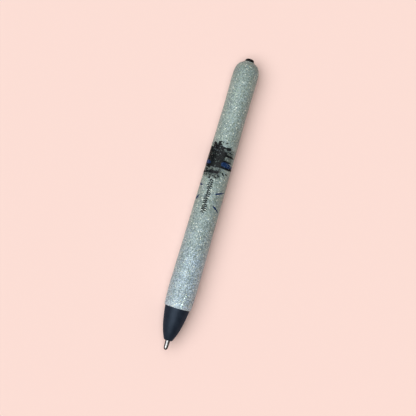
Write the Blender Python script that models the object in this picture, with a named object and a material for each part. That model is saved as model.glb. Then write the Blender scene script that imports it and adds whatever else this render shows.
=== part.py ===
"""A retractable gel pen with a resin-coated glitter barrel, lying on a table with its writing tip towards +X.

Lengths are in metres. x runs along the pen, z is up, and the table is z = 0. The origin is under the middle
of the pen's length. Every piece is turned about the pen's own axis, which is parallel to x.
"""

import math

import bmesh
import bpy
from mathutils import Matrix, Vector

MM = 0.001


def in_mm(*pairs):
    """Turns (x, radius) pairs given in millimetres into metres."""
    return [(x * MM, r * MM) for x, r in pairs]


# Driving dimensions: the whole pen, tip out
PEN_LENGTH = 142.0 * MM
TIP_END = PEN_LENGTH / 2
BUTTON_END = -PEN_LENGTH / 2
GAP = 0.1 * MM  # between pieces that touch on the real pen

# Hand-poured outer surface of the coated barrel, from the button's hole to where its front edge rounds over
COAT_BODY = in_mm(
    (-69.5, 2.7), (-69.25, 3.3), (-68.6, 4.2), (-67.6, 4.98), (-66.2, 5.54), (-64.4, 5.87), (-61.8, 6.04),
    (-57.8, 6.02), (-53.0, 5.9), (-44.0, 5.88), (-34.0, 6.02), (-22.0, 6.08), (-10.0, 6.24), (2.0, 6.4),
    (14.0, 6.52), (26.0, 6.67), (34.0, 6.79), (39.5, 6.84), (43.5, 6.73), (47.5, 6.58),
)
COAT_EDGE = in_mm((49.2, 6.5), (49.8, 6.38), (50.0, 6.2))
COAT_FRONT = COAT_EDGE[-1][0]
BUTTON_HOLE = 2.25 * MM
COAT_SIDES = 32
TOPCOAT_THICKNESS = 0.5 * MM
FILM_THICKNESS = 0.1 * MM
LAYER_GAP = 0.05 * MM
GLITTER_THICKNESS = 0.35 * MM

# Decals under the topcoat: rear and front end in mm, and two angles in degrees from the top towards +Y
DECALS = {
    "decal_band": (-32.0, -11.8, -168, 168),
    "decal_flourish": (-11.4, 5.0, -27, 3),
    "decal_dash_1": (-9.0, -7.6, -72, -52),
    "decal_dash_2": (-3.4, -1.2, -66, -54),
    "decal_dash_3": (-7.4, -5.4, 25, 73),
    "decal_dash_4": (0.0, 2.6, 28, 70),
}

# Plastic barrel under the coat
BARREL_REAR = -64.4 * MM
BARREL_FRONT = 49.9 * MM
BARREL_BORE = 3.4 * MM
NIPPLE_END = 56.0 * MM
NIPPLE_BORE = 2.95 * MM
HOUSING_SEAT = 3.9 * MM
TUBE_SIDES = 24

# Thread between the barrel's nipple and the nose cone
THREAD_START = 50.9 * MM
THREAD_PITCH = 1.5 * MM
THREAD_TURNS = 3
THREAD_ROOT = 3.45 * MM
THREAD_HEIGHT = 0.45 * MM
THREAD_CLEARANCE = 0.12 * MM
THREAD_RINGS_PER_TURN = 6
THREAD_END = THREAD_START + THREAD_PITCH * THREAD_TURNS

# Nose cone: its flank, then its rounded front rim
CONE_FLANK = in_mm(
    (50.1, 5.7), (50.3, 5.86), (52.7, 5.46), (54.6, 5.17), (56.5, 4.84), (58.4, 4.47), (60.2, 4.02),
    (62.1, 3.48), (63.6, 2.93), (64.8, 2.37), (65.6, 1.9),
)
CONE_RIM = in_mm((66.0, 1.62), (66.3, 1.5))
CONE_EXIT = 1.3 * MM
SPRING_CAVITY = 2.65 * MM
SPRING_SEAT = 61.5 * MM

# Rear housing, which guides the button and latches the rotor
SLEEVE_RADIUS = 3.8 * MM
SLEEVE_BORE = 3.35 * MM
SLEEVE_FRONT = -38.0 * MM
GUIDE_FRONT, GUIDE_REAR = -43.4 * MM, -54.0 * MM
GUIDE_BORE = 2.55 * MM
GROOVE_REACH, GROOVE_WIDTH = 3.15 * MM, 2.0 * MM
KEY_REACH, KEY_WIDTH = 3.0 * MM, 1.6 * MM
TEETH = 8
TOOTH_DEPTH = 1.0 * MM
TOOTHED_SIDES = 4 * TEETH

# Button and rotor
BUTTON_RADIUS, BUTTON_FACE = 1.95 * MM, 1.35 * MM
BUTTON_CORE, BUTTON_SOCKET_RADIUS = 2.35 * MM, 1.5 * MM
BUTTON_CORE_REAR = -47.0 * MM
BUTTON_SOCKET = -49.5 * MM
ROTOR_REAR = GUIDE_FRONT + 0.2 * MM
ROTOR_FRONT = -39.6 * MM
ROTOR_STEM_REAR = -47.5 * MM
ROTOR_STEM, ROTOR_CORE, ROTOR_FLANGE = 1.2 * MM, 2.2 * MM, 2.4 * MM

# Refill
TUBE_RADIUS, TUBE_BORE = 2.8 * MM, 2.2 * MM
TUBE_REAR, TUBE_FRONT = -37.0 * MM, 46.4 * MM
INK_RADIUS = TUBE_BORE - GAP
INK_REAR = -10.0 * MM
FOLLOWER_LENGTH = 6.0 * MM
HOLDER_PLUG_LENGTH = 2.9 * MM
HOLDER_FRONT = 60.4 * MM
HOLDER_RADIUS, HOLDER_BORE = 1.75 * MM, 0.9 * MM
FLANGE_FRONT = 47.5 * MM
POINT_REAR = 58.1 * MM
POINT_RADIUS, POINT_BORE = 1.15 * MM, 0.55 * MM
FEED_RADIUS = 0.16 * MM
BALL_RADIUS = 0.35 * MM
BALL_CENTRE = TIP_END - BALL_RADIUS
SEAT_RADIUS = BALL_RADIUS + 0.02 * MM
SEAT_RIM = TIP_END - 0.2 * MM

# Return spring
SPRING_RADIUS = 2.2 * MM
SPRING_WIRE = 0.44 * MM
SPRING_TURNS = 7
BALL_SPRING_RADIUS = 0.36 * MM
BALL_SPRING_WIRE = 0.11 * MM
BALL_SPRING_TURNS = 12

# The flats of the coated barrel's widest ring rest on the table, so the axis stands that far above it
AXIS_HEIGHT = max(r for _, r in COAT_BODY) * math.cos(math.pi / COAT_SIDES)
AXIS_POINT = Vector((0, 0, AXIS_HEIGHT))


def clear_scene():
    for thing in list(bpy.data.objects):
        bpy.data.objects.remove(thing)


def surface(name, colour, roughness=0.4, metallic=0.0, alpha=1.0):
    """A Principled material in one colour."""
    material = bpy.data.materials.new(name)
    material.use_nodes = True
    shader = material.node_tree.nodes["Principled BSDF"]
    shader.inputs["Base Color"].default_value = (*colour, 1)
    shader.inputs["Roughness"].default_value = roughness
    shader.inputs["Metallic"].default_value = metallic
    shader.inputs["Alpha"].default_value = alpha
    return material


def finish_object(name, bm, material):
    """Turns the bmesh into a named object with its origin on the pen's axis."""
    bmesh.ops.recalc_face_normals(bm, faces=bm.faces)
    bmesh.ops.translate(bm, verts=bm.verts, vec=-AXIS_POINT)
    mesh = bpy.data.meshes.new(name)
    bm.to_mesh(mesh)
    bm.free()
    mesh.shade_smooth()
    mesh.set_sharp_from_angle(angle=math.radians(35))
    mesh.materials.append(material)
    made = bpy.data.objects.new(name, mesh)
    made.location = AXIS_POINT
    bpy.context.scene.collection.objects.link(made)
    return made


def spun(outline, sides, steps=0, first=0):
    """A bmesh of the outline, (x, radius) pairs, spun about the pen's axis in steps of a turn / sides.

    An outline that starts and ends on the axis is left open along it, and any other is closed into a loop.
    A number of steps makes only that many facets, with flat ends, starting at the facet numbered first; facet 0
    is the bottom one and the next is on its +Y side.
    """
    start = (2 * first - 1) * math.pi / sides
    bm = bmesh.new()
    points = []
    for x, r in outline:
        points.append(bm.verts.new((x, r * math.sin(start), AXIS_HEIGHT - r * math.cos(start))))
    open_on_axis = outline[0][1] == 0 and outline[-1][1] == 0
    following = points[1:] if open_on_axis else points[1:] + points[:1]
    edges = [bm.edges.new(pair) for pair in zip(points, following)]
    ends = [bm.faces.new(points)] if steps else []
    bmesh.ops.spin(
        bm,
        geom=points + edges + ends,
        cent=AXIS_POINT,
        axis=(1, 0, 0),
        angle=2 * math.pi * (steps or sides) / sides,
        steps=steps or sides,
        use_merge=not steps,
    )
    bmesh.ops.remove_doubles(bm, verts=bm.verts, dist=0.001 * MM)
    return bm


def turned(name, outline, sides, material):
    return finish_object(name, spun(outline, sides), material)


def polar(v):
    """A vertex's distance from the pen's axis and its angle about it, as a share of a turn."""
    across, up = v.co.y, v.co.z - AXIS_HEIGHT
    return math.hypot(across, up), math.atan2(up, across) / (2 * math.pi)


def offset_inwards(outline, distance):
    """The outline moved along its normals towards the axis, with its corners mitred."""
    moved = []
    for i, (x, r) in enumerate(outline):
        before, after = outline[max(0, i - 1)], outline[min(len(outline) - 1, i + 1)]
        here = Vector((x, r))
        into = (here - Vector(before)) if i else (Vector(after) - here)
        out_of = (Vector(after) - here) if i < len(outline) - 1 else into
        tangent = (into.normalized() + out_of.normalized()).normalized()
        stretch = distance / tangent.dot(into.normalized())
        moved.append((x + tangent.y * stretch, r - tangent.x * stretch))
    return moved


def coat_inside(depth):
    """A surface at the given depth in the coat, from the button's hole to the coat's flat front end."""
    inside = offset_inwards(COAT_BODY, depth)
    return [(inside[0][0], BUTTON_HOLE), *inside, (COAT_FRONT, inside[-1][1])]


def radius_on(outline, x):
    """The radius at x on the outline's straight pieces."""
    for (x0, r0), (x1, r1) in zip(outline, outline[1:]):
        if x0 <= x <= x1:
            return r0 + (r1 - r0) * (x - x0) / (x1 - x0)
    raise ValueError("x is off the outline")


def make_coat(glitter, film, clear):
    """Three layers round the barrel: glitter in resin, cut decals of thin film, and a clear topcoat."""
    outer = [(COAT_BODY[0][0], BUTTON_HOLE), *COAT_BODY, *COAT_EDGE]
    turned("epoxy_topcoat", outer + coat_inside(TOPCOAT_THICKNESS)[::-1], COAT_SIDES, clear)

    film_top = TOPCOAT_THICKNESS + LAYER_GAP
    glitter_top = film_top + FILM_THICKNESS + LAYER_GAP
    top = coat_inside(glitter_top)
    under = coat_inside(glitter_top + GLITTER_THICKNESS)
    turned("glitter_layer", top + under[::-1], COAT_SIDES, glitter)

    for name, (rear, front, from_deg, to_deg) in DECALS.items():
        rear, front = rear * MM, front * MM
        rings = [rear, *(x for x, _ in COAT_BODY if rear < x < front), front]
        above = [(x, radius_on(coat_inside(film_top), x)) for x in rings]
        below = [(x, radius_on(coat_inside(film_top + FILM_THICKNESS), x)) for x in rings]
        facet = 360 / COAT_SIDES
        first = math.floor((180 - to_deg) / facet + 0.5)
        last = math.ceil((180 - from_deg) / facet + 0.5)
        patch = spun(above + below[::-1], COAT_SIDES, steps=last - first, first=first)
        finish_object(name, patch, film)


def threaded_rings(radius):
    """Outline points along the thread, close enough together to carry its wave."""
    count = THREAD_TURNS * THREAD_RINGS_PER_TURN
    return [(THREAD_START + (THREAD_END - THREAD_START) * i / count, radius) for i in range(count + 1)]


def raise_thread(bm, base_radius, fade):
    """Moves the rings at base_radius outwards in a rounded right-hand helix, which dies away over fade."""
    for v in bm.verts:
        radius, turn = polar(v)
        from_end = min(v.co.x - THREAD_START, THREAD_END - v.co.x)
        if from_end < -0.01 * MM or abs(radius - base_radius) > 0.01 * MM:
            continue
        wave = 0.5 - 0.5 * math.cos(2 * math.pi * (v.co.x / THREAD_PITCH - turn))
        share = min(1, max(0, from_end / fade)) if fade else 1
        grown = (radius + THREAD_HEIGHT * wave * share) / radius
        v.co.y *= grown
        v.co.z = AXIS_HEIGHT + (v.co.z - AXIS_HEIGHT) * grown


def raise_teeth(bm, x, depth, turn_offset):
    """Moves the vertices at x back by depth in a ring of teeth, whose tips stay at x."""
    for v in bm.verts:
        radius, turn = polar(v)
        if abs(v.co.x - x) > 0.001 * MM or radius > GUIDE_BORE + 0.01 * MM:
            continue
        within = (turn * TEETH + turn_offset) % 1
        v.co.x += depth * abs(2 * within - 1)


def make_barrel(material):
    """The moulded barrel: a tube that follows the coat, with a threaded nipple at the front."""
    under_coat = TOPCOAT_THICKNESS + 2 * LAYER_GAP + FILM_THICKNESS + GLITTER_THICKNESS + GAP
    outside = [(x, r) for x, r in coat_inside(under_coat) if BARREL_REAR < x < BARREL_FRONT]
    outline = [
        (BARREL_REAR, HOUSING_SEAT),
        (BARREL_REAR, outside[0][1]),
        *outside,
        (BARREL_FRONT, outside[-1][1]),
        (BARREL_FRONT, THREAD_ROOT),
        *threaded_rings(THREAD_ROOT),
        (NIPPLE_END - 0.2 * MM, THREAD_ROOT),
        (NIPPLE_END, THREAD_ROOT - 0.2 * MM),
        (NIPPLE_END, NIPPLE_BORE),
        (44.0 * MM, NIPPLE_BORE),
        (43.0 * MM, BARREL_BORE),
        (SLEEVE_FRONT + GAP, BARREL_BORE),
        (SLEEVE_FRONT + GAP, HOUSING_SEAT),
    ]
    bm = spun(outline, TUBE_SIDES)
    raise_thread(bm, THREAD_ROOT, THREAD_PITCH / 3)
    finish_object("barrel_tube", bm, material)


def make_nose_cone(material):
    """The ogive nose: threaded inside its base, with a seat for the spring and an exit for the point."""
    bore = THREAD_ROOT + THREAD_CLEARANCE
    mouth = bore + THREAD_HEIGHT + 0.08 * MM
    end_of_rim = CONE_RIM[-1][0]
    inside = [
        (end_of_rim, CONE_EXIT),
        (SPRING_SEAT, CONE_EXIT),
        (SPRING_SEAT, SPRING_CAVITY),
        (NIPPLE_END + 0.4 * MM, SPRING_CAVITY),
        (NIPPLE_END + 0.4 * MM, bore),
        (THREAD_END + 0.1 * MM, bore),
        *threaded_rings(bore)[::-1],
        (THREAD_START - 0.1 * MM, mouth),
        (CONE_FLANK[0][0], mouth),
    ]
    bm = spun([*CONE_FLANK, *CONE_RIM, *inside], TUBE_SIDES)
    raise_thread(bm, bore, 0)
    finish_object("nose_cone", bm, material)


def key_bars(x0, x1, width, inner, outer, slope=0.0):
    """Four bars along x round the axis, a quarter turn apart; slope slants their rear ends."""
    bm = bmesh.new()
    size = Matrix.Diagonal((x1 - x0, width, outer - inner, 1))
    for quarter in range(4):
        place = Matrix.Translation(((x0 + x1) / 2, 0, (inner + outer) / 2))
        made = bmesh.ops.create_cube(bm, size=1, matrix=place @ size)["verts"]
        for v in made:
            if v.co.x < (x0 + x1) / 2:
                v.co.x += slope * (0.5 + v.co.y / width)
        turn = Matrix.Rotation(quarter * math.pi / 2, 4, "X")
        bmesh.ops.transform(bm, verts=made, matrix=Matrix.Translation(AXIS_POINT) @ turn)
    return bm


def combine(target, bm, name, operation):
    """Adds or cuts away a helper shape, which is not itself a piece of the pen."""
    shape = finish_object(name, bm, target.data.materials[0])
    shape.hide_render = True
    shape.display_type = "WIRE"
    modifier = target.modifiers.new(name, "BOOLEAN")
    modifier.object = shape
    modifier.operation = operation
    modifier.solver = "EXACT"


def make_rear_housing(material):
    """The moulded rear end: a dome round the button and a sleeve with four guide grooves."""
    under_coat = TOPCOAT_THICKNESS + 2 * LAYER_GAP + FILM_THICKNESS + GLITTER_THICKNESS + GAP
    neck = BUTTON_HOLE - GAP
    outside = [(x, r) for x, r in coat_inside(under_coat) if x < BARREL_REAR - GAP]
    outline = [
        (outside[0][0], neck),
        *outside[1:],
        (BARREL_REAR - GAP, outside[-1][1]),
        (BARREL_REAR - GAP, SLEEVE_RADIUS),
        (SLEEVE_FRONT, SLEEVE_RADIUS),
        (SLEEVE_FRONT, SLEEVE_BORE),
        (GUIDE_FRONT, SLEEVE_BORE),
        (GUIDE_FRONT, GUIDE_BORE),
        (GUIDE_REAR, GUIDE_BORE),
        (GUIDE_REAR, neck),
    ]
    bm = spun(outline, TOOTHED_SIDES)
    raise_teeth(bm, GUIDE_FRONT, -TOOTH_DEPTH, 0.5)
    housing = finish_object("rear_housing", bm, material)
    grooves = key_bars(GUIDE_REAR - 0.1 * MM, GUIDE_FRONT + 1 * MM, GROOVE_WIDTH, 1.8 * MM, GROOVE_REACH)
    combine(housing, grooves, "guide_grooves", "DIFFERENCE")


def make_button(material):
    """The push button: a shaft out of the dome, four keys in the guide grooves and a crown of teeth."""
    rounding = BUTTON_RADIUS - BUTTON_FACE
    shoulder = [
        (BUTTON_END + rounding * (1 - math.cos(a)), BUTTON_FACE + rounding * math.sin(a))
        for a in (math.radians(d) for d in (0, 30, 60, 90))
    ]
    outline = [
        (BUTTON_END, 0),
        *shoulder,
        (BUTTON_CORE_REAR, BUTTON_RADIUS),
        (BUTTON_CORE_REAR, BUTTON_CORE),
        (GUIDE_FRONT, BUTTON_CORE),
        (GUIDE_FRONT, BUTTON_SOCKET_RADIUS),
        (BUTTON_SOCKET, BUTTON_SOCKET_RADIUS),
        (BUTTON_SOCKET, 0),
    ]
    bm = spun(outline, TOOTHED_SIDES)
    raise_teeth(bm, GUIDE_FRONT, -TOOTH_DEPTH, 0)
    button = finish_object("push_button", bm, material)
    keys = key_bars(BUTTON_CORE_REAR + 0.2 * MM, GUIDE_FRONT - 1.2 * MM, KEY_WIDTH, 1.75 * MM, KEY_REACH)
    combine(button, keys, "button_keys", "UNION")


def make_rotor(material):
    """The cam rotor: four lobes that latch on the guide ribs, teeth for the crown, and a stem in the button."""
    outline = [
        (ROTOR_STEM_REAR, 0),
        (ROTOR_STEM_REAR, ROTOR_STEM),
        (ROTOR_REAR + TOOTH_DEPTH + 0.1 * MM, ROTOR_STEM),
        (ROTOR_REAR, ROTOR_STEM + 0.35 * MM),
        (ROTOR_REAR, ROTOR_CORE),
        (ROTOR_FRONT - 0.6 * MM, ROTOR_CORE),
        (ROTOR_FRONT - 0.6 * MM, ROTOR_FLANGE),
        (ROTOR_FRONT, ROTOR_FLANGE),
        (ROTOR_FRONT, 0),
    ]
    bm = spun(outline, TOOTHED_SIDES)
    raise_teeth(bm, ROTOR_REAR, TOOTH_DEPTH, 0.5)
    rotor = finish_object("cam_rotor", bm, material)
    lobes = key_bars(ROTOR_REAR + 0.1 * MM, ROTOR_FRONT - 0.8 * MM, KEY_WIDTH, 1.4 * MM, KEY_REACH, 0.7 * MM)
    combine(rotor, lobes, "rotor_lobes", "UNION")


def make_refill(tube, ink, grease, white):
    """The gel refill's plastic tube with its tail plug, follower, ink and tip holder."""
    turned(
        "refill_tube",
        [(TUBE_REAR, TUBE_BORE), (TUBE_REAR, TUBE_RADIUS), (TUBE_FRONT, TUBE_RADIUS), (TUBE_FRONT, TUBE_BORE)],
        TUBE_SIDES,
        tube,
    )
    tail_rear, plug_radius, vent = ROTOR_FRONT + GAP, 2.35 * MM, 0.5 * MM
    turned(
        "tail_plug",
        [
            (tail_rear, vent),
            (tail_rear, plug_radius),
            (TUBE_REAR - GAP, plug_radius),
            (TUBE_REAR - GAP, INK_RADIUS),
            (TUBE_REAR + 2.5 * MM, INK_RADIUS),
            (TUBE_REAR + 2.5 * MM, vent),
        ],
        TUBE_SIDES,
        white,
    )
    ink_front = TUBE_FRONT - HOLDER_PLUG_LENGTH
    follower_front = INK_REAR - GAP
    for name, rear, front, material in (
        ("ink_column", INK_REAR, ink_front, ink),
        ("ink_follower", follower_front - FOLLOWER_LENGTH, follower_front, grease),
    ):
        turned(name, [(rear, 0), (rear, INK_RADIUS), (front, INK_RADIUS), (front, 0)], TUBE_SIDES, material)
    turned(
        "tip_holder",
        [
            (ink_front + GAP, HOLDER_BORE),
            (ink_front + GAP, INK_RADIUS),
            (TUBE_FRONT + GAP, INK_RADIUS),
            (TUBE_FRONT + GAP, TUBE_RADIUS),
            (FLANGE_FRONT, TUBE_RADIUS),
            (FLANGE_FRONT, HOLDER_RADIUS),
            (HOLDER_FRONT - 1.2 * MM, HOLDER_RADIUS),
            (HOLDER_FRONT, HOLDER_RADIUS - 0.3 * MM),
            (HOLDER_FRONT, POINT_RADIUS + GAP / 2),
            (POINT_REAR - GAP, POINT_RADIUS + GAP / 2),
            (POINT_REAR - GAP, HOLDER_BORE),
        ],
        TUBE_SIDES,
        white,
    )


def make_point(steel, carbide):
    """The steel point with its ball seat, the ball, and the small spring that presses the ball to the rim."""
    seat_start = math.acos((SEAT_RIM - BALL_CENTRE) / SEAT_RADIUS)
    seat_end = math.pi - math.asin(FEED_RADIUS / SEAT_RADIUS)
    seat = []
    for i in range(6):
        a = seat_start + (seat_end - seat_start) * i / 5
        seat.append((BALL_CENTRE + SEAT_RADIUS * math.cos(a), SEAT_RADIUS * math.sin(a)))
    feed_rear = TIP_END - 1.7 * MM
    turned(
        "steel_point",
        [
            (POINT_REAR, POINT_BORE),
            (POINT_REAR, POINT_RADIUS),
            (TIP_END - 3.8 * MM, POINT_RADIUS),
            (TIP_END - 3.3 * MM, 0.98 * MM),
            (TIP_END - 1.3 * MM, 0.86 * MM),
            (TIP_END - 0.6 * MM, 0.64 * MM),
            (SEAT_RIM, 0.44 * MM),
            *seat,
            (feed_rear + 0.6 * MM, FEED_RADIUS),
            (feed_rear, POINT_BORE),
        ],
        24,
        steel,
    )
    mesh = bpy.data.meshes.new("writing_ball")
    bm = bmesh.new()
    bmesh.ops.create_uvsphere(bm, u_segments=16, v_segments=8, radius=BALL_RADIUS)
    bm.to_mesh(mesh)
    bm.free()
    mesh.shade_smooth()
    mesh.materials.append(carbide)
    ball = bpy.data.objects.new("writing_ball", mesh)
    ball.location = (BALL_CENTRE, 0, AXIS_HEIGHT)
    ball.rotation_euler = (0, math.pi / 2, 0)
    bpy.context.scene.collection.objects.link(ball)
    make_spring("ball_spring", POINT_REAR + 1.0 * MM, feed_rear - 0.2 * MM, BALL_SPRING_RADIUS, BALL_SPRING_WIRE,
                BALL_SPRING_TURNS, 8, steel)


def make_spring(name, rear, front, radius, wire, turns, per_turn, material):
    """A compression spring between rear and front, with one closed turn at each end."""
    closed_rise = wire * 1.1
    rise = (front - rear - wire - 2 * closed_rise) / turns
    curve = bpy.data.curves.new(name, "CURVE")
    curve.dimensions = "3D"
    curve.bevel_depth = wire / 2
    curve.bevel_resolution = 1 if wire > 0.3 * MM else 0
    curve.use_fill_caps = True
    line = curve.splines.new("POLY")
    line.points.add(per_turn * (turns + 2))
    for i, point in enumerate(line.points):
        wound = i / per_turn
        active = min(max(wound - 1, 0), turns)
        along = rear + wire / 2 + rise * active + closed_rise * (wound - active)
        angle = 2 * math.pi * wound
        point.co = (along, radius * math.cos(angle), radius * math.sin(angle), 1)
    curve.materials.append(material)
    spring = bpy.data.objects.new(name, curve)
    spring.location = AXIS_POINT
    bpy.context.scene.collection.objects.link(spring)


def main():
    clear_scene()
    grey = surface("grey moulded plastic", (0.45, 0.47, 0.47), roughness=0.5)
    white = surface("white plastic", (0.8, 0.8, 0.78), roughness=0.5)
    steel = surface("steel", (0.6, 0.6, 0.6), roughness=0.25, metallic=1)
    make_coat(
        glitter=surface("silver sage glitter", (0.27, 0.32, 0.28), roughness=0.4, metallic=0.5),
        film=surface("decal film", (0.02, 0.02, 0.03), roughness=0.4),
        clear=surface("clear resin", (0.9, 0.93, 0.92), roughness=0.1, alpha=0.2),
    )
    make_barrel(grey)
    make_rear_housing(grey)
    make_nose_cone(surface("navy plastic", (0.02, 0.026, 0.045), roughness=0.45))
    make_button(surface("black plastic", (0.008, 0.008, 0.01), roughness=0.4))
    make_rotor(white)
    make_refill(
        tube=surface("frosted tube", (0.75, 0.78, 0.8), roughness=0.3, alpha=0.5),
        ink=surface("gel ink", (0.01, 0.01, 0.015), roughness=0.3),
        grease=surface("follower grease", (0.8, 0.8, 0.7), roughness=0.3, alpha=0.6),
        white=white,
    )
    make_point(steel, surface("tungsten carbide", (0.35, 0.35, 0.36), roughness=0.15, metallic=1))
    make_spring("return_spring", FLANGE_FRONT + GAP, SPRING_SEAT - GAP, SPRING_RADIUS, SPRING_WIRE, SPRING_TURNS,
                12, steel)


main()
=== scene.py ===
import math
import random

import bmesh
import bpy
from mathutils import Matrix, Vector, noise


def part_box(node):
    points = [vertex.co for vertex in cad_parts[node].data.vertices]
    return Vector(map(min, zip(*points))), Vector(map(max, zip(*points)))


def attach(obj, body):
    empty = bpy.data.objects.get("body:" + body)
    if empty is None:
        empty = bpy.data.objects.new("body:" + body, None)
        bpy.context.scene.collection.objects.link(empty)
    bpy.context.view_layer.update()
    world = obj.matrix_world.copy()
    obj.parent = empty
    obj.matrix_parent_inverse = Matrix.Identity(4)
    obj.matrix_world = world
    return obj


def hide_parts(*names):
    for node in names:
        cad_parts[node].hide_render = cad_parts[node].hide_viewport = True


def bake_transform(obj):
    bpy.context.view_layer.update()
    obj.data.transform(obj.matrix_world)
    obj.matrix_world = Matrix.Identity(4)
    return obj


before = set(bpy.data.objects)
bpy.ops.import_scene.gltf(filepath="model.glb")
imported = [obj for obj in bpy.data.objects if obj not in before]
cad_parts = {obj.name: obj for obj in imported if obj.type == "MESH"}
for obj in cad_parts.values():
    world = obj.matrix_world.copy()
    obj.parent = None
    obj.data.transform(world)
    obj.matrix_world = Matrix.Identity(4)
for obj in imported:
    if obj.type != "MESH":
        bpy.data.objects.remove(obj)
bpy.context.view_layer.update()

MM = 0.001

# --- Table, camera and light -------------------------------------------------------------------------------
# A blush table top, seen from straight above with the pen's rear end up and to the right. One broad soft
# light comes from the pen's left, and the room adds a weak even light.
FLOOR_COLOUR = (0.93, 0.705, 0.65)
TAIL_UP = Vector((-0.9596, -0.2815, 0))
LOOK_AT = Vector((1.52, 0.6, 6.8)) * MM
VIEW_WIDTH = 194.9 * MM
CAMERA_DISTANCE = 0.62


def aim(holder, target, up):
    """Turns a camera or a light at its place towards target, with up towards the top of its view."""
    back = (holder.location - target).normalized()
    right = up.cross(back).normalized()
    up = back.cross(right)
    holder.rotation_euler = Matrix((right, up, back)).transposed().to_euler()


camera_data = bpy.data.cameras.new("camera")
camera_data.sensor_width = 36
camera_data.lens = 36 * CAMERA_DISTANCE / VIEW_WIDTH
camera = bpy.data.objects.new("camera", camera_data)
camera.location = LOOK_AT + Vector((0, 0, CAMERA_DISTANCE))
aim(camera, LOOK_AT, TAIL_UP)
bpy.context.scene.collection.objects.link(camera)
bpy.context.scene.camera = camera

bm = bmesh.new()
bmesh.ops.create_grid(bm, x_segments=1, y_segments=1, size=1.5)
table_mesh = bpy.data.meshes.new("table_top")
bm.to_mesh(table_mesh)
bm.free()
table = bpy.data.objects.new("table_top", table_mesh)
bpy.context.scene.collection.objects.link(table)
paper = bpy.data.materials.new("blush paper")
paper.use_nodes = True
paper_shader = paper.node_tree.nodes["Principled BSDF"]
paper_shader.inputs["Base Color"].default_value = (*FLOOR_COLOUR, 1)
paper_shader.inputs["Roughness"].default_value = 0.9
paper_shader.inputs["Specular IOR Level"].default_value = 0.1
table_mesh.materials.append(paper)

image_right = TAIL_UP.cross(Vector((0, 0, 1)))
sun_data = bpy.data.lights.new("window", "SUN")
sun_data.angle = math.radians(72)
sun_data.energy = 2.85
sun_data.color = (0.98, 0.99, 1.0)
sun = bpy.data.objects.new("window", sun_data)
sun.location = LOOK_AT - 0.27 * image_right + 0.06 * TAIL_UP + Vector((0, 0, 0.95))
aim(sun, LOOK_AT, Vector((1, 0, 0)))
bpy.context.scene.collection.objects.link(sun)

world = bpy.data.worlds.new("room")
world.use_nodes = True
world.node_tree.nodes["Background"].inputs["Color"].default_value = (1.0, 0.88, 0.76, 1)
world.node_tree.nodes["Background"].inputs["Strength"].default_value = 0.2
bpy.context.scene.world = world
bpy.context.scene.view_settings.view_transform = "Standard"

# --- Barrel tube -------------------------------------------------------------------------------------------
# The moulded grey tube of the plain pen that was decorated. Its front end steps down to a nipple with a
# right-hand thread of 1.5 mm pitch, onto which the nose cone screws.
AXIS_Z = (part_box("writing_ball")[0][2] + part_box("writing_ball")[1][2]) / 2
AXIS = Vector((0, 0, AXIS_Z))
THREAD_START, THREAD_PITCH, THREAD_TURNS = 50.9, 1.5, 3
THREAD_ROOT, THREAD_HEIGHT = 3.45, 0.45
THREAD_END = THREAD_START + THREAD_PITCH * THREAD_TURNS
HOLE_RADIUS = 2.25
LAYERS_DEPTH = 1.15
# Outer surface of the finished barrel, x and radius in mm, which the tube and every layer follow at a depth
COAT_BODY = [
    (-69.6, 2.5), (-69.35, 2.7), (-69.0, 3.15), (-68.5, 4.05), (-67.6, 4.88), (-66.2, 5.56), (-64.4, 5.96),
    (-61.8, 6.13), (-57.8, 6.12), (-53.0, 6.0), (-44.0, 5.98), (-34.0, 6.1), (-22.0, 6.17), (-10.0, 6.32),
    (2.0, 6.46), (14.0, 6.56), (26.0, 6.7), (34.0, 6.8), (39.5, 6.84), (43.5, 6.8), (47.5, 6.68),
]


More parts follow.
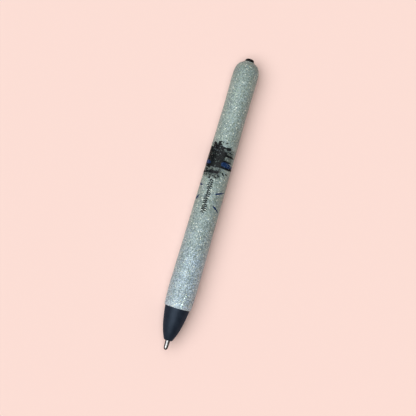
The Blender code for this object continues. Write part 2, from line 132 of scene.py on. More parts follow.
class Wire:
    """An output in a material's nodes. A sum on wires adds the Math nodes that work it out."""

    def __init__(self, tree, socket=None):
        self.tree = tree
        self.socket = socket

    def node(self, kind, settings=None, inputs=None, output=0):
        """Adds a node: first its settings, then the values or wires of its inputs. Gives its output."""
        made = self.tree.nodes.new(kind)
        for name, value in (settings or {}).items():
            if name == "stops":
                ramp = made.color_ramp.elements
                for place, colour in value[2:]:
                    ramp.new(place).color = (*colour, 1)
                for stop, (place, colour) in zip((ramp[0], ramp[-1]), value[:2]):
                    stop.position, stop.color = place, (*colour, 1)
            else:
                setattr(made, name, value)
        for name, value in (inputs or {}).items():
            if isinstance(value, Wire):
                self.tree.links.new(value.socket, made.inputs[name])
            else:
                made.inputs[name].default_value = value
        return Wire(self.tree, made.outputs[output]) if len(made.outputs) else None

    def math(self, operation, *terms):
        return self.node("ShaderNodeMath", {"operation": operation}, dict(enumerate(terms)))

    def __add__(self, other):
        return self.math("ADD", self, other)

    def __radd__(self, other):
        return self.math("ADD", other, self)

    def __sub__(self, other):
        return self.math("SUBTRACT", self, other)

    def __rsub__(self, other):
        return self.math("SUBTRACT", other, self)

    def __mul__(self, other):
        return self.math("MULTIPLY", self, other)

    def __rmul__(self, other):
        return self.math("MULTIPLY", other, self)

    def __truediv__(self, other):
        return self.math("DIVIDE", self, other)

    def __pow__(self, other):
        return self.math("POWER", self, other)

    def between(self, low, high):
        """A smooth step from 0 at low to 1 at high. Where low is more than high, it still is 1 at high."""
        if low > high:
            return 1 - self.between(high, low)
        limits = {"Value": self, "From Min": low, "From Max": high}
        return self.node("ShaderNodeMapRange", {"interpolation_type": "SMOOTHSTEP"}, limits)

    def mix(self, first, second):
        """A colour between first and second, by this wire's value."""
        return self.node("ShaderNodeMix", {"data_type": "RGBA"}, {0: self, 6: first, 7: second}, 2)

    def noise(self, scale, detail, **others):
        """Noise at this place, from 0 to 1."""
        inputs = {"Vector": self, "Scale": scale, "Detail": detail, **others}
        return self.node("ShaderNodeTexNoise", inputs=inputs)

    def cells(self, scale):
        """A random colour for each cell of a Voronoi pattern at this place."""
        return self.node("ShaderNodeTexVoronoi", inputs={"Vector": self, "Scale": scale}, output="Color")

    def channels(self):
        """The red, green and blue of this colour."""
        return [self.node("ShaderNodeSeparateColor", inputs={"Color": self}, output=o) for o in range(3)]

    def edge_on(self):
        """0 where the surface faces the eye, rising to 1 where it is seen edge on."""
        return self.node("ShaderNodeLayerWeight", inputs={"Blend": 0.5}, output="Facing")

    def principled(self, inputs):
        return self.node("ShaderNodeBsdfPrincipled", inputs=inputs)

    def surface(self):
        """Makes this shader the material's surface."""
        self.node("ShaderNodeOutputMaterial", inputs={"Surface": self})


def new_finish(name):
    """A material, and a wire with the place on the piece in the pen's own frame, in millimetres."""
    finish = bpy.data.materials.new(name)
    finish.use_nodes = True
    finish.node_tree.nodes.clear()
    at = Wire(finish.node_tree).node("ShaderNodeTexCoord", output="Object")
    return finish, at.node("ShaderNodeMapping", inputs={"Vector": at, "Scale": (1000, 1000, 1000)})


def moulded_plastic(name, colour, roughness, grain=0.12, depth=0.004, gloss=0.035, sheen=(1, 1, 1, 1)):
    """Moulded plastic with a spark-eroded grain of a size and depth in mm, and a skin of uneven gloss."""
    finish, place = new_finish(name)
    cloud = place.noise(0.35, 3.0)
    speck = place.noise(1 / grain, 2.0)
    lighter = tuple(min(1, c * 1.25 + 0.004) for c in colour)
    darker = tuple(c * 0.82 for c in colour)
    shade = (cloud * 0.6 + speck * 0.4).between(0.3, 0.7).mix((*darker, 1), (*lighter, 1))
    bump = place.node("ShaderNodeBump", inputs={"Height": speck, "Distance": depth * MM, "Strength": 1.0})
    matt = {"Base Color": shade, "Roughness": 0.8, "Specular IOR Level": 0.0, "Normal": bump}
    body = place.principled(matt)
    skin = place.node("ShaderNodeBsdfGlossy", inputs={"Color": sheen, "Roughness": roughness, "Normal": bump})
    share = gloss * (0.8 + 0.4 * speck) + 0.15 * place.edge_on()**5
    place.node("ShaderNodeMixShader", inputs={0: share, 1: body, 2: skin}).surface()
    return finish


def turned(outline, steps):
    """A bmesh of the outline, x and radius in mm, spun all round the pen's axis.

    An outline that starts and ends at radius 0 is open there, and any other is joined into a loop.
    """
    bm = bmesh.new()
    points = [bm.verts.new((x * MM, 0, AXIS_Z + r * MM)) for x, r in outline]
    open_ended = outline[0][1] == 0 and outline[-1][1] == 0
    following = points[1:] if open_ended else points[1:] + points[:1]
    edges = [bm.edges.new(pair) for pair in zip(points, following)]
    bmesh.ops.spin(
        bm, geom=points + edges, cent=AXIS, axis=(1, 0, 0), angle=2 * math.pi, steps=steps, use_merge=True
    )
    bmesh.ops.remove_doubles(bm, verts=bm.verts, dist=0.0005 * MM)
    bmesh.ops.recalc_face_normals(bm, faces=bm.faces)
    return bm


def finished(name, bm, material, body, *nodes, sharp=40):
    """Makes the bmesh a piece that rides on the body, if there is one, and stands for the CAD nodes."""
    mesh = bpy.data.meshes.new(name)
    bm.to_mesh(mesh)
    bm.free()
    mesh.shade_smooth()
    mesh.set_sharp_from_angle(angle=math.radians(sharp))
    mesh.materials.append(material)
    piece = bpy.data.objects.new(name, mesh)
    bpy.context.scene.collection.objects.link(piece)
    if body:
        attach(piece, body)
    if nodes:
        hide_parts(*nodes)
    return piece


def curved(stations, per_span=5):
    """Points on a smooth curve through the stations."""
    points = []
    for i in range(len(stations) - 1):
        nearby = (stations[max(0, min(len(stations) - 1, i + k))] for k in (-1, 0, 1, 2))
        before, a, b, after = (Vector(station) for station in nearby)
        for k in range(per_span):
            t = k / per_span
            bend = 2 * before - 5 * a + 4 * b - after + t * (3 * (a - b) + after - before)
            points.append(tuple(a + 0.5 * t * (b - before + t * bend)))
    return points + [tuple(stations[-1])]


def coat_at_depth(depth):
    """The finished barrel's curve, moved inwards by depth in mm, but not into the button's hole."""
    curve = curved(COAT_BODY)
    moved = []
    for i, (x, r) in enumerate(curve):
        behind, ahead = curve[max(i - 1, 0)], curve[min(i + 1, len(curve) - 1)]
        along = (Vector(ahead) - Vector(behind)).normalized()
        moved.append((x + along.y * depth, max(r - along.x * depth, HOLE_RADIUS)))
    return moved


def helix_height(v, fade):
    """How far up the thread's flank the vertex is, from 0 at its root to 1 at its crest."""
    turn = math.atan2(v.co.z - AXIS_Z, v.co.y) / (2 * math.pi)
    from_end = min(v.co.x / MM - THREAD_START, THREAD_END - v.co.x / MM)
    wave = 0.5 - 0.5 * math.cos(2 * math.pi * (v.co.x / MM / THREAD_PITCH - turn))
    return wave * max(0, min(1, from_end / fade))


def cut_thread(bm, root, fade):
    """Raises a rounded right-hand helix on the rings of radius root, dying away over fade at each end."""
    for v in bm.verts:
        arm = Vector((0, v.co.y, v.co.z - AXIS_Z))
        in_length = THREAD_START - 0.001 < v.co.x / MM < THREAD_END + 0.001
        if in_length and abs(arm.length / MM - root) < 0.01:
            v.co += arm.normalized() * THREAD_HEIGHT * MM * helix_height(v, fade)


thread_rings = [THREAD_START + (THREAD_END - THREAD_START) * i / 36 for i in range(37)]
MOULDING_REAR, SHOULDER = -64.4, 49.9
under_layers = [(x, r) for x, r in coat_at_depth(LAYERS_DEPTH) if MOULDING_REAR < x < 47.0]
bm = turned(
    [
        (MOULDING_REAR, 3.9), (MOULDING_REAR, under_layers[0][1]), *under_layers,
        (SHOULDER, under_layers[-1][1]), (SHOULDER, THREAD_ROOT), *((x, THREAD_ROOT) for x in thread_rings),
        (55.8, THREAD_ROOT), (56.0, 3.25), (56.0, 2.95), (44.0, 2.95), (43.0, 3.4), (-37.9, 3.4),
        (-37.9, 3.9),
    ],
    96,
)
cut_thread(bm, THREAD_ROOT, 0.5)
grey_plastic = moulded_plastic("grey moulded plastic", (0.42, 0.44, 0.44), 0.42)
barrel = finished("barrel_moulding", bm, grey_plastic, "barrel", "barrel_tube")

# --- Rear housing ------------------------------------------------------------------------------------------
# The moulded end piece pushed into the barrel's rear. It carries the button, and inside it four grooves
# guide the button's keys and the rotor's lobes.
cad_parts["rear_housing"].material_slots[0].material = grey_plastic

# --- Glitter layer -----------------------------------------------------------------------------------------
# Fine silver and sage glitter, brushed on in resin all over the tube and round over its rear end. Cooler
# silver was used towards the front. Each flake lies at its own slight slant.
GLITTER_DEPTH = 0.14
LIP_START, LIP_FULL = 46.8, 48.6


def glitter_finish():
    """Overlapping flakes of two sizes, each with its own tone, hue and slant. A few get a painted near-white
    glint, the rear end is darkened with painted shade and the front lip lightened with a painted highlight.
    """
    finish, place = new_finish("silver and sage glitter")
    along = place.node("ShaderNodeSeparateXYZ", inputs={"Vector": place}, output="X")
    flake = place.cells(2.5)
    tone, hue, painted_glint_and_metal = flake.channels()
    grit_tone, grit_wear, _ = place.cells(5.5).channels()
    drift = place.noise(0.12, 4.0)
    # Painted shade: the glitter is darkened towards its rear end, standing in for light that falls more from
    # the front.
    painted_shade_rear = along.between(-57, -66) * 0.2
    # Painted highlight: the glitter is lightened along the coat's front lip, where the thick resin edge
    # catches the light.
    painted_lip_highlight = along.between(LIP_START, LIP_FULL) * 0.17
    bright = tone * 0.72 + grit_tone * 0.28 + (drift - 0.5) * 0.18 - painted_shade_rear + painted_lip_highlight
    ramps = (
        [(0.0, (0.17, 0.22, 0.21)), (1.0, (0.46, 0.555, 0.53)), (0.5, (0.268, 0.335, 0.325))],
        [(0.0, (0.15, 0.20, 0.25)), (1.0, (0.72, 0.86, 0.97)), (0.5, (0.335, 0.42, 0.485))],
    )
    sage, silver = (place.node("ShaderNodeValToRGB", {"stops": stops}, {"Fac": bright}) for stops in ramps)
    colour = (along + (drift - 0.5) * 60).between(-14, 48).mix(sage, silver)
    tint = hue.mix((0.95, 0.97, 1.09, 1), (1.04, 1.03, 0.92, 1))
    multiply = {"data_type": "RGBA", "blend_type": "MULTIPLY"}
    colour = place.node("ShaderNodeMix", multiply, {0: 1.0, 6: colour, 7: tint}, 2)
    # Painted glints: a few flakes get a near-white colour standing for sparkles of light; the same cell value
    # also sets how metallic each flake is.
    colour = painted_glint_and_metal.between(0.955, 0.985).mix(colour, (0.85, 0.88, 0.8, 1))
    slant = place.node("ShaderNodeVectorMath", {"operation": "SUBTRACT"}, {0: flake, 1: (0.5, 0.5, 0.5)})
    slant = place.node("ShaderNodeVectorMath", {"operation": "SCALE"}, {0: slant, "Scale": 0.7})
    upright = place.node("ShaderNodeNewGeometry", output="Normal")
    tilted = place.node("ShaderNodeVectorMath", {"operation": "ADD"}, {0: upright, 1: slant})
    tilted = place.node("ShaderNodeVectorMath", {"operation": "NORMALIZE"}, {0: tilted})
    looks = {"Base Color": colour, "Metallic": 0.05 + 0.3 * painted_glint_and_metal, "Roughness": 0.42 + 0.25 * grit_wear}
    place.principled({**looks, "Normal": tilted}).surface()
    return finish


def poured(bm, swell=0.05):
    """Gives a poured resin surface its slow unevenness, in mm."""
    for v in bm.verts:
        arm = Vector((0, v.co.y, v.co.z - AXIS_Z))
        if arm.length > 4 * MM:
            v.co += arm.normalized() * swell * MM * noise.noise(v.co * 160)


outside = coat_at_depth(GLITTER_DEPTH)
inside = coat_at_depth(LAYERS_DEPTH - 0.1)
bm = turned(
    [
        (outside[0][0], HOLE_RADIUS), *outside, (49.9, 6.42), (50.25, 6.2), (50.25, 6.08), (49.9, 6.02),
        (49.9, inside[-1][1]), *inside[::-1], (inside[0][0], HOLE_RADIUS),
    ],
    128,
)
poured(bm)
glitter_coat = finished("glitter_coat", bm, glitter_finish(), "barrel", "glitter_layer")

# --- Loose larger flakes -----------------------------------------------------------------------------------
# A pinch of larger hexagonal flakes, white, pale green, pale blue and straw, stirred into the resin. They lie
# scattered just above the fine glitter, each at its own slant, and a streak of them stands up near the front.
FLAKES, STREAK_FLAKES = 641, 39
random.seed(41)
coat_curve = curved(COAT_BODY)


def coat_radius(x):
    """The finished barrel's radius at x, in mm."""
    for (x0, r0), (x1, r1) in zip(coat_curve, coat_curve[1:]):
        if x0 <= x <= x1:
            return r0 + (r1 - r0) * (x - x0) / (x1 - x0)
    return coat_curve[-1][1]


bm = bmesh.new()
tone = bm.verts.layers.float.new("tone")
for i in range(FLAKES + STREAK_FLAKES):
    x = random.choice((random.uniform(-67, -36), random.uniform(-67, 49), random.uniform(22, 49)))
    angle = random.uniform(0, 2 * math.pi)
    slant = 0
    if i >= FLAKES:
        x = random.uniform(43.5, 49.5)
        angle = -math.radians(40 - 0.5 * x + random.gauss(0, 2.2))
        slant = 0.45
    size = random.uniform(0.1, 0.22)
    stand = Matrix.Rotation(angle, 4, "X")
    lean = Matrix.Rotation(slant + random.gauss(0, 0.1), 4, "X")
    lean = lean @ Matrix.Rotation(random.gauss(0, 0.1), 4, "Y")
    lift = Matrix.Translation(Vector((x, 0, coat_radius(x) - GLITTER_DEPTH + 0.03)) * MM)
    at = Matrix.Translation(AXIS) @ stand @ lift @ lean
    made = bmesh.ops.create_circle(bm, cap_ends=True, segments=6, radius=size * MM, matrix=at)
    value = random.random()
    for v in made["verts"]:
        v[tone] = value
finish, place = new_finish("loose glitter flakes")
tone_value = place.node("ShaderNodeAttribute", {"attribute_name": "tone"}, output="Fac")
flake_tones = [
    (0.0, (0.9, 0.95, 0.95)), (1.0, (0.95, 0.97, 1.0)), (0.3, (0.55, 0.8, 0.66)), (0.5, (0.9, 0.88, 0.6)),
    (0.62, (0.5, 0.68, 0.9)), (0.8, (0.12, 0.16, 0.17)),
]
flake_colour = place.node("ShaderNodeValToRGB", {"stops": flake_tones}, {"Fac": tone_value})
place.principled({"Base Color": flake_colour, "Metallic": 0.55, "Roughness": 0.22}).surface()
flakes = finished("loose_flakes", bm, finish, "barrel")

# --- Decals ------------------------------------------------------------------------------------------------
# Cut and printed film laid on the glitter before the last resin: a brushed charcoal band with navy stripes,
# a sprig of small leaf strokes along the pen, and four loose navy brush strokes.
DECAL_DEPTH = 0.062


def wrap(bm, depth):
    """Rolls a flat sheet round the pen. Its x stays, and its y, in mm from the top towards +Y, goes round."""
    for v in bm.verts:
        x, arc, lift = v.co
        r = coat_radius(x) - depth + lift
        v.co = Vector((x, r * math.sin(arc / r), AXIS_Z / MM + r * math.cos(arc / r))) * MM
    poured(bm)


def stroke(bm, path, width, lift=0.0):
    """Adds a brush stroke along a path of (x, arc) points in mm, widest a little way in from its start."""
    made = bmesh.ops.create_grid(bm, x_segments=14, y_segments=2, size=0.5)["verts"]
    line = [Vector(point) for point in curved(path, 6)]
    for v in made:
        t, across = v.co.x + 0.5, v.co.y
        place = t * (len(line) - 1)
        i = min(int(place), len(line) - 2)
        on_line = line[i].lerp(line[i + 1], place - i)
        side = (line[i + 1] - line[i]).orthogonal().normalized()
        v.co = (*(on_line + side * width * across * (math.sin(math.pi * t**0.6) ** 0.6 + 0.05)), lift)


def thickened(bm, thickness=0.02):
    """Gives an open film its thickness."""
    bmesh.ops.recalc_face_normals(bm, faces=bm.faces)
    bmesh.ops.solidify(bm, geom=bm.faces, thickness=thickness * MM)
    bmesh.ops.recalc_face_normals(bm, faces=bm.faces)
    return bm


def printed_film(name, colour, mottle):
    """Printed film set in resin: a matt ink, a little uneven, with a few flakes of glitter caught on it."""
    finish, place = new_finish(name)
    patch = place.noise(1.6, 4.0)
    caught = place.cells(2.6).channels()[0]
    pale = tuple(c * 1.8 + mottle for c in colour)
    shade = (patch * 0.7 + caught * 0.3).between(0.42, 0.75).mix((*colour, 1), (*pale, 1))
    shade = caught.between(0.95, 0.97).mix(shade, (0.11, 0.14, 0.16, 1))
    looks = {"Base Color": shade, "Roughness": 0.5 + patch * 0.2, "Specular IOR Level": 0.04}
    place.principled(looks).surface()
    return finish


charcoal_film = printed_film("charcoal film", (0.005, 0.006, 0.008), 0.012)
navy_film = printed_film("navy film", (0.006, 0.024, 0.085), 0.012)
dashes = {
    "decal_dash_1": ([(-8.6, -8.6), (-8.4, -7.2), (-8.0, -5.6)], 0.9),
    "decal_dash_2": ([(-1.4, -8.1), (-2.2, -7.0), (-3.5, -5.8)], 1.25),
    "decal_dash_3": ([(-5.4, 2.1), (-6.4, 4.6), (-7.1, 8.0)], 0.74),
    "decal_dash_4": ([(0.1, 2.7), (1.0, 4.4), (2.7, 7.0)], 0.78),
}
for node, (path, width) in dashes.items():
    bm = bmesh.new()
    stroke(bm, path, width)
    wrap(bm, DECAL_DEPTH)
    dash = finished(node.replace("decal", "navy"), thickened(bm), navy_film, "barrel", node)

LEAVES, LEAF_STEP = 34, 0.48
bm = bmesh.new()
stroke(bm, [(-11.6, -0.7), (-7, -1.6), (-2, -1.5), (2, -1.2), (4.8, -1.9)], 0.3)
for i in range(LEAVES):
    x = -11.8 + i * LEAF_STEP
    side = 1 if i % 2 else -1
    stem = -1.45 + 0.25 * math.sin(x * 0.9)
    reach = random.uniform(1.1, 1.6) * (0.62 + 0.5 * abs(math.sin(x * 0.62 + 0.7)))
    tip = (x + random.uniform(0.1, 0.6), stem + side * reach)
    middle = ((x + tip[0]) / 2 - 0.16, (stem + tip[1]) / 2)
    stroke(bm, [(x, stem), middle, tip], random.uniform(0.45, 0.75), lift=0.002 * (1 + i % 3))
wrap(bm, DECAL_DEPTH)
flourish = finished("leaf_strokes", thickened(bm), charcoal_film, "barrel", "decal_flourish")

# Brush marks round the band: x in mm and degrees round from the top, at both ends, and the width in mm
BAND_MARKS = [
    # Rear fringe
    (-27.7, -56, -27.4, -12, 1.5), (-29.1, -58, -28.6, -34, 1.2), (-29.3, -32, -28.6, -10, 1.5),
    (-27.7, -20, -27.6, 11, 1.5), (-27.5, 10, -27.6, 36, 1.4), (-28.7, -20, -30.6, -22, 0.6),
    (-29.8, -32, -30.4, -14, 0.6), (-29.7, 1, -30.3, 12, 0.5), (-26.9, -68, -26.5, -30, 0.8),
    (-26.6, -32, -26.9, 2, 0.8), (-29.6, -8, -30.6, -10, 0.45), (-28.2, 24, -28.9, 34, 0.35),
    (-26.1, -10, -25.9, 20, 0.3), (-28.4, -66, -27.8, -58, 0.5),
    # Tails towards +Y
    (-25.0, -20, -24.2, 62, 1.1), (-23.9, 40, -23.5, 72, 0.35), (-22.1, -10, -21.4, 62, 1.0),
    (-26.2, 22, -25.7, 50, 0.4),
    # Front edge
    (-18.75, 0, -18.1, 88, 1.05), (-19.0, 50, -18.2, 100, 0.5),
    # Front fringe
    (-14.6, -84, -15.6, -28, 1.0), (-15.5, -40, -16.0, 9, 1.6), (-16.2, 21, -14.9, 33, 0.75),
    (-15.9, 38, -15.7, 52, 0.6), (-12.5, -32, -12.8, -22, 0.9), (-13.9, -20, -13.6, -6, 0.35),
    (-13.1, -4, -13.5, 8, 0.55), (-14.4, 2, -14.0, 12, 0.35), (-14.1, -36, -13.9, -26, 0.4),
    # Far side
    (-27.4, 120, -27.9, 150, 0.9), (-24.9, 140, -24.6, 168, 1.2), (-21.9, 112, -21.6, 168, 1.3),
    (-29.3, 150, -28.9, 166, 0.8), (-29.4, -150, -28.9, -128, 1.1), (-28.9, -110, -28.3, -82, 1.0),
    # Front edge again, and the dense middle
    (-17.8, -76, -18.3, -24, 0.75), (-18.2, -36, -18.7, 12, 0.75), (-18.6, 4, -18.2, 34, 0.7),
    (-26.0, -48, -25.9, -4, 0.9), (-26.6, -44, -27.0, -14, 0.7), (-24.4, -16, -24.7, 12, 1.0),
    (-26.7, -12, -26.4, 10, 0.5),
]


def on_sheet(x, degrees):
    """The point of the unrolled sheet, in mm, that lies at x and so far round the pen from the top."""
    return Vector((x, math.radians(degrees) * coat_radius(x)))


bm = bmesh.new()
for i, (x_1, turn_1, x_2, turn_2, width) in enumerate(BAND_MARKS):
    a, b = (on_sheet(x, turn) + Vector((0.3, 0)) for x, turn in ((x_1, turn_1), (x_2, turn_2)))
    bow = (a + b) / 2 + Vector((a.y - b.y, b.x - a.x)) * random.uniform(-0.04, 0.04)
    stroke(bm, [a, bow, b], width, lift=0.002 + 0.002 * (i % 4))
wrap(bm, DECAL_DEPTH)
marks = finished("band_brush_marks", thickened(bm), charcoal_film, "barrel")
bm = bmesh.new()
for x_1, turn_1, x_2, turn_2, width in (
    (-19.95, 6, -19.1, 74, 2.1), (-19.4, -84, -19.3, -42, 1.9), (-19.8, 104, -19.6, 150, 1.5),
):
    a, b = on_sheet(x_1, turn_1), on_sheet(x_2, turn_2)
    stroke(bm, [a, (x_1 * 0.6 + x_2 * 0.4, (a.y + b.y) / 2), b], width, lift=0.012)
wrap(bm, DECAL_DEPTH)
stripes = finished("band_navy_stripes", thickened(bm), navy_film, "barrel")


def brushed_finish():
    """Charcoal ink with alpha for its ragged ends: a dense block, a haze before it, and beside it a thin
    sheet of ink that is partly painted shade.
    """
    finish, place = new_finish("charcoal brushed band")
    x, y, z = (place.node("ShaderNodeSeparateXYZ", inputs={"Vector": place}, output=o) for o in "XYZ")
    turn = place.math("ARCTAN2", y, z - AXIS_Z / MM) * (180 / math.pi)
    swirl = place.node("ShaderNodeCombineXYZ", inputs={"X": x, "Y": turn * 0.105})
    dabs = swirl.noise(0.9, 3.0, Roughness=0.6)
    ragged = (dabs - 0.5) * 2.2
    hairs = place.node("ShaderNodeCombineXYZ", inputs={"X": x * 1.6, "Y": turn * 0.012}).noise(1.0, 4.0)

    rear_edge = (x + ragged - turn * 0.014).between(-26.0, -25.5)
    front_edge = (x + ragged * 0.2 + turn * 0.006).between(-18.1, -18.35)
    side_edge = (turn + ragged * 8 + (x + 22) * 1.2).between(17, 13)
    far_edge = (turn + ragged * 14 + (hairs - 0.5) * 60).between(-158, -153)
    dense = rear_edge * front_edge * side_edge * far_edge

    haze = (x + ragged * 0.4).between(-18.2, -17.9) * (x + ragged * 0.6).between(-11.8, -13.6)
    haze = haze * (turn + ragged * 9).between(26, 6) * (turn + ragged * 9).between(-86, -64)
    haze = haze * (0.2 + 0.34 * dabs.between(0.46, 0.62))
    # Partly painted shade: a faint sheet of charcoal ink over the band's tail on the pen's shaded side
    # darkens the glitter there.
    veil_and_painted_shade = x.between(-27.4, -26.4) * x.between(-21.4, -21.6) * turn.between(72, 40) * turn.between(0, 12)
    thin = place.math("MAXIMUM", haze, veil_and_painted_shade * 0.2)

    caught, holes, _ = place.cells(2.6).channels()
    wear = (dabs * 0.5 + holes * 0.5).between(0.35, 0.75)
    ink = wear.mix((0.0035, 0.0045, 0.005, 1), (0.014, 0.018, 0.020, 1))
    caught = (caught - x.between(-23.5, -26.5) * 0.08).between(0.95, 0.97)
    holes = (holes + 0.12 * x.between(-24.8, -27)).between(0.985, 1.0) * 0.9
    looks = {
        "Base Color": caught.mix(ink, (0.085, 0.11, 0.105, 1)), "Roughness": 0.5 + dabs * 0.2,
        "Specular IOR Level": 0.04, "Alpha": place.math("MAXIMUM", dense, thin) * (1 - holes),
    }
    place.principled(looks).surface()
    return finish


BAND_MIDDLE, BAND_LENGTH, BAND_REACH, BAND_RADIUS = -21.9, 20.2, 168, 6.08
bm = bmesh.new()
bmesh.ops.create_grid(bm, x_segments=40, y_segments=160, size=0.5)
arc = math.radians(2 * BAND_REACH) * BAND_RADIUS
for v in bm.verts:
    v.co = (BAND_MIDDLE + v.co.x * BAND_LENGTH, v.co.y * arc, 0)
wrap(bm, DECAL_DEPTH)
band = finished("brushed_band", thickened(bm), brushed_finish(), "barrel", "decal_band")

# --- Clear topcoat -----------------------------------------------------------------------------------------
# The last coat of clear casting resin, poured while the pen turned. It is slightly uneven, ends in a rounded,
# wavy front edge, and stands in a small collar round the button.
COAT_GLOSS, COAT_EDGE_GLOSS = 0.004, 0.1
WAVES_START, WAVES_LENGTH = 47.5, 2.5
resin, place = new_finish("clear casting resin")
ripple = place.noise(0.25, 2.0) + place.noise(3.0, 2.0) * 0.03
bump = place.node("ShaderNodeBump", inputs={"Height": ripple, "Distance": 0.25 * MM, "Strength": 1.0})
shine = place.node("ShaderNodeBsdfGlossy", inputs={"Roughness": 0.32, "Normal": bump})
clear = place.node("ShaderNodeBsdfTransparent", inputs={"Color": (0.985, 0.995, 0.99, 1)})
share = COAT_GLOSS + COAT_EDGE_GLOSS * place.edge_on()**5
place.node("ShaderNodeMixShader", inputs={0: share, 1: clear, 2: shine}).surface()
outer = curved(COAT_BODY)
inner = coat_at_depth(0.04)
rear = outer[0][0]
bm = turned(
    [
        (rear + 0.12, 2.18), (rear - 0.1, 2.22), (rear - 0.08, 2.35), *outer[1:],
        (48.9, 6.6), (49.6, 6.52), (50.1, 6.42), (50.35, 6.29), (50.4, 6.2), (50.35, 6.12), (50.0, 6.3),
        *inner[::-1], (inner[0][0] + 0.1, 2.2),
    ],
    128,
)
poured(bm)
for v in bm.verts:
    if v.co.x > WAVES_START * MM:
        ease = (v.co.x / MM - WAVES_START) / WAVES_LENGTH
        turn = math.atan2(v.co.z - AXIS_Z, v.co.y)
        v.co.x -= ease * MM * (0.22 + 0.12 * math.sin(3 * turn + 1) + 0.1 * math.sin(7 * turn))
topcoat = finished("clear_topcoat", bm, resin, "barrel", "epoxy_topcoat", sharp=60)

# --- Nose cone ---------------------------------------------------------------------------------------------
# Near-black navy plastic, moulded with a satin surface. Its base is threaded inside, a step seats the return
# spring, and its rounded end has the hole for the steel point.
CONE_FLANK = [
    (50.32, 5.94), (51.5, 5.8), (52.7, 5.64), (54.6, 5.36), (56.5, 5.02), (58.4, 4.66), (60.2, 4.21),
    (62.1, 3.66), (63.6, 3.1), (64.7, 2.66), (65.4, 2.36),
]
CONE_RIM = [(65.4, 2.36), (65.8, 2.18), (66.1, 1.96), (66.25, 1.7), (66.3, 1.4)]
CONE_BASE, SPRING_STEP, THREAD_PLAY = 50.12, 61.5, 0.12
bore = THREAD_ROOT + THREAD_PLAY
bm = turned(
    [
        (CONE_BASE, 5.6), (CONE_BASE, 5.8), (50.2, 5.89), *curved(CONE_FLANK)[:-1], *curved(CONE_RIM, 3),
        (66.2, 1.3), (SPRING_STEP, 1.3), (SPRING_STEP, 2.65), (56.4, 2.65), (56.4, bore), (55.5, bore),
        *((x, bore) for x in thread_rings[::-1]), (50.8, bore + 0.53), (CONE_BASE, bore + 0.53),
    ],
    96,
)
cut_thread(bm, bore, 0.001)
navy_plastic = moulded_plastic(
    "satin navy plastic", (0.0085, 0.0145, 0.026), 0.42,
    grain=0.2, depth=0.006, gloss=0.026, sheen=(0.62, 0.78, 1, 1),
)
cone = finished("nose_cone_shell", bm, navy_plastic, "nose_cone", "nose_cone")

# --- Push button -------------------------------------------------------------------------------------------
# Black plastic, moulded in one with the four keys that run in the housing's grooves and the crown of teeth
# that turns the rotor. Only its rounded end stands out of the barrel.
black_plastic = moulded_plastic("black plastic", (0.002, 0.002, 0.0025), 0.3, gloss=0.012)
BUTTON_END, BUTTON_RADIUS, SHAFT_RADIUS, CORE_RADIUS = -71.0, 2.08, 1.95, 2.35
CORE_REAR, CORE_FRONT, SOCKET_REAR, SOCKET_RADIUS = -47.0, -43.4, -49.5, 1.5
TEETH, TOOTH_DEPTH = 8, 1.0
dome = [
    (BUTTON_END + 1.15 * (1 - math.cos(a)), 0.7 + (BUTTON_RADIUS - 0.7) * math.sin(a))
    for a in (math.radians(d) for d in range(10, 91, 10))
]
bm = turned(
    [
        (BUTTON_END, 0), (BUTTON_END, 0.65), *dome, (-66.5, BUTTON_RADIUS), (-66.2, SHAFT_RADIUS),
        (CORE_REAR, SHAFT_RADIUS), (CORE_REAR, CORE_RADIUS), (CORE_FRONT, CORE_RADIUS),
        (CORE_FRONT, SOCKET_RADIUS), (SOCKET_REAR, SOCKET_RADIUS), (SOCKET_REAR, 0),
    ],
    96,
)
for v in bm.verts:
    if v.co.x > (CORE_FRONT - 0.01) * MM:
        turn = math.atan2(v.co.z - AXIS_Z, v.co.y) / (2 * math.pi)
        v.co.x -= TOOTH_DEPTH * MM * abs(2 * ((turn * TEETH) % 1) - 1)
key = Matrix.Translation(Vector((-45.7, 0, 2.4)) * MM) @ Matrix.Diagonal((2.2 * MM, 1.6 * MM, 1.2 * MM, 1))
for quarter in range(4):
    turned_to = Matrix.Translation(AXIS) @ Matrix.Rotation(quarter * math.pi / 2, 4, "X")
    bmesh.ops.create_cube(bm, size=1, matrix=turned_to @ key)
button = finished("thumb_button", bm, black_plastic, "knock", "push_button")

# --- Steel point and ball ----------------------------------------------------------------------------------
# A point turned from stainless rod, with fine turning marks and a crimped seat, and in it a tungsten carbide
# ball of 0.7 mm that a tiny spring presses to the rim.
steel, place = new_finish("turned stainless steel")
marks = place.node("ShaderNodeMapping", inputs={"Vector": place, "Scale": (14, 0.25, 0.25)}).noise(1.0, 3.0)
tint = place.noise(0.9, 2.0).between(0.3, 0.7).mix((0.24, 0.25, 0.26, 1), (0.46, 0.47, 0.47, 1))
bump = place.node("ShaderNodeBump", inputs={"Height": marks, "Distance": 0.006 * MM, "Strength": 1.0})
bright = place.principled(
    {"Base Color": tint, "Metallic": 1.0, "Roughness": 0.1 + marks * 0.12, "Normal": bump}
)
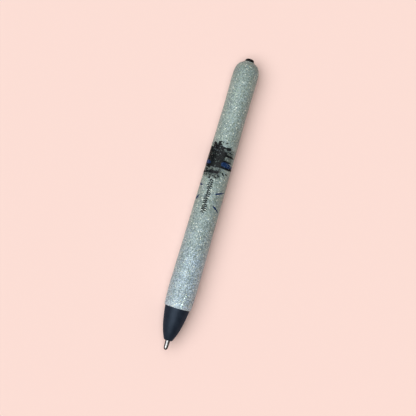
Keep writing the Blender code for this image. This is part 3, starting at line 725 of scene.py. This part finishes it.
# Painted shade: where the point is seen edge on, a dark copy of the steel is mixed in so that its rims look
# shaded.
painted_rim_shade = place.principled({"Base Color": (0.05, 0.055, 0.06, 1), "Metallic": 1.0, "Roughness": 0.3})
share = place.edge_on().between(0.05, 0.4)
place.node("ShaderNodeMixShader", inputs={0: share, 1: bright, 2: painted_rim_shade}).surface()
BALL_AT, BALL_RADIUS, SEAT_RADIUS, RIM_FROM_CENTRE, SEAT_STEPS = 70.65, 0.35, 0.37, 0.15, 12
seat_start, seat_end = math.acos(RIM_FROM_CENTRE / SEAT_RADIUS), math.pi - 0.446
seat = [seat_start + (seat_end - seat_start) * i / SEAT_STEPS for i in range(SEAT_STEPS + 1)]
bm = turned(
    [
        (58.1, 0.55), (58.1, 1.1), (58.15, 1.15), (67.1, 1.15), (67.2, 1.14), (67.7, 1.1), (69.7, 1.02),
        (70.2, 0.93), (70.5, 0.79), (70.72, 0.58), (70.8, 0.44),
        *((BALL_AT + SEAT_RADIUS * math.cos(a), SEAT_RADIUS * math.sin(a)) for a in seat),
        (69.9, 0.16), (69.3, 0.55),
    ],
    64,
)
point = finished("writing_point", bm, steel, "refill", "steel_point", sharp=25)
bm = bmesh.new()
bmesh.ops.create_uvsphere(bm, u_segments=40, v_segments=24, radius=BALL_RADIUS * MM)
bmesh.ops.rotate(bm, verts=bm.verts, matrix=Matrix.Rotation(math.pi / 2, 3, "Y"))
bmesh.ops.translate(bm, verts=bm.verts, vec=Vector((BALL_AT * MM, 0, AXIS_Z)))
carbide, place = new_finish("tungsten carbide with ink on it")
wet = place.noise(3.0, 2.0).between(0.5, 0.62)
tint = wet.mix((0.32, 0.32, 0.33, 1), (0.03, 0.03, 0.035, 1))
place.principled({"Base Color": tint, "Metallic": 1 - wet * 0.8, "Roughness": 0.12 + wet * 0.15}).surface()
ball = finished("carbide_ball", bm, carbide, "tip_ball", "writing_ball")
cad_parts["ball_spring"].material_slots[0].material = steel

# --- Return spring -----------------------------------------------------------------------------------------
# Drawn steel wire wound in seven open turns with a closed turn at each end. It stands between the cone's step
# and the refill's collar. On the real pen its coils close up as the refill comes forward; here it is built at
# one length.
wire, coil, rear, front = 0.22, 2.2, 47.6, 61.4
OPEN_TURNS, CLOSED_PITCH, STEPS_PER_TURN = 7, 0.484, 28
open_length = front - rear - 2 * wire - 2 * CLOSED_PITCH
bm = bmesh.new()
bmesh.ops.create_circle(bm, cap_ends=True, segments=10, radius=wire * MM)
bmesh.ops.rotate(bm, verts=bm.verts, matrix=Matrix.Rotation(math.pi / 2, 3, "X"))
bmesh.ops.translate(bm, verts=bm.verts, vec=Vector(((rear + wire) * MM, 0, AXIS_Z + coil * MM)))
wire_end = bm.faces[:]
for turns, length in ((1, CLOSED_PITCH), (OPEN_TURNS, open_length), (1, CLOSED_PITCH)):
    steps = STEPS_PER_TURN * turns
    swept = bmesh.ops.spin(
        bm, geom=wire_end, cent=AXIS, axis=(1, 0, 0), angle=2 * math.pi * turns, steps=steps,
        dvec=Vector((length / steps * MM, 0, 0)),
    )
    wire_end = [part for part in swept["geom_last"] if isinstance(part, bmesh.types.BMFace)]
bmesh.ops.recalc_face_normals(bm, faces=bm.faces)
spring_wire, place = new_finish("drawn spring wire")
draw_marks = place.noise(6.0, 4.0)
tint = draw_marks.between(0.3, 0.7).mix((0.42, 0.42, 0.43, 1), (0.66, 0.65, 0.63, 1))
place.principled({"Base Color": tint, "Metallic": 1.0, "Roughness": 0.24 + draw_marks * 0.16}).surface()
spring = finished("coil_spring", bm, spring_wire, None, "return_spring")
rear * MM
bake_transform(spring)

# --- Click rotor -------------------------------------------------------------------------------------------
# White plastic, moulded with a crown of cams that the button's teeth turn, and four lobes that run in the
# housing's grooves or catch on their ends.
white_plastic = moulded_plastic("white moulded plastic", (0.72, 0.72, 0.70), 0.4)
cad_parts["cam_rotor"].material_slots[0].material = white_plastic

# --- Refill ------------------------------------------------------------------------------------------------
# A frosted extruded tube of black gel ink, with clear grease behind the ink, a vented white plug in its rear
# end, and a white holder pressed into its front end that carries the steel point.
frosted, place = new_finish("frosted refill tube")
drag = place.node("ShaderNodeMapping", inputs={"Vector": place, "Scale": (0.1, 4, 4)}).noise(1.0, 3.0)
tint = drag.between(0.3, 0.7).mix((0.68, 0.72, 0.74, 1), (0.82, 0.84, 0.85, 1))
place.principled({"Base Color": tint, "Roughness": 0.25 + drag * 0.2, "Alpha": 0.14 + drag * 0.12}).surface()


def liquid(name, low, high, alpha):
    """Ink or grease: smooth and wet, with faint streaks."""
    finish, place = new_finish(name)
    streak = place.noise(0.5, 3.0)
    tint = streak.between(0.3, 0.7).mix(low, high)
    place.principled({"Base Color": tint, "Roughness": 0.15 + streak * 0.2, "Alpha": alpha}).surface()
    return finish


gel = liquid("black gel ink", (0.004, 0.004, 0.006, 1), (0.016, 0.016, 0.022, 1), 1.0)
grease = liquid("clear follower grease", (0.72, 0.72, 0.6, 1), (0.84, 0.83, 0.74, 1), 0.6)
TUBE_REAR, TUBE_FRONT, TUBE_RADIUS, TUBE_BORE = -37.0, 46.4, 2.8, 2.2
FILL_RADIUS = TUBE_BORE - 0.1
for node, name, material, slot, outline in (
    ("refill_tube", "refill_tubing", frosted, "frosted_tube", [
        (TUBE_REAR, TUBE_BORE), (TUBE_REAR, TUBE_RADIUS - 0.15), (TUBE_REAR + 0.15, TUBE_RADIUS),
        (TUBE_FRONT - 0.15, TUBE_RADIUS), (TUBE_FRONT, TUBE_RADIUS - 0.15), (TUBE_FRONT, TUBE_BORE),
    ]),
    ("tail_plug", "vented_plug", white_plastic, "white_plastic", [
        (-39.5, 0.5), (-39.5, 2.15), (-39.3, 2.35), (-37.1, 2.35), (-37.1, FILL_RADIUS), (-34.8, FILL_RADIUS),
        (-34.5, FILL_RADIUS - 0.3), (-34.5, 0.5),
    ]),
    ("ink_follower", "follower_grease", grease, "follower_grease", [
        (-15.4, 0), (-15.5, 1.1), (-15.8, 1.8), (-16.1, FILL_RADIUS), (-10.1, FILL_RADIUS), (-10.1, 0),
    ]),
    ("ink_column", "gel_ink", gel, "gel_ink", [
        (-10.0, 0), (-10.0, FILL_RADIUS), (43.5, FILL_RADIUS), (43.5, 0),
    ]),
    ("tip_holder", "point_holder", white_plastic, "white_plastic", [
        (43.6, 0.9), (43.6, FILL_RADIUS - 0.2), (43.9, FILL_RADIUS), (46.5, FILL_RADIUS), (46.5, TUBE_RADIUS),
        (47.35, TUBE_RADIUS), (47.5, TUBE_RADIUS - 0.15), (47.5, 2.0), (47.75, 1.75), (59.2, 1.75),
        (60.1, 1.55), (60.4, 1.4), (60.4, 1.2), (58.0, 1.2), (58.0, 0.9),
    ]),
):
    piece = finished(name, turned(outline, 64), material, "refill", node)
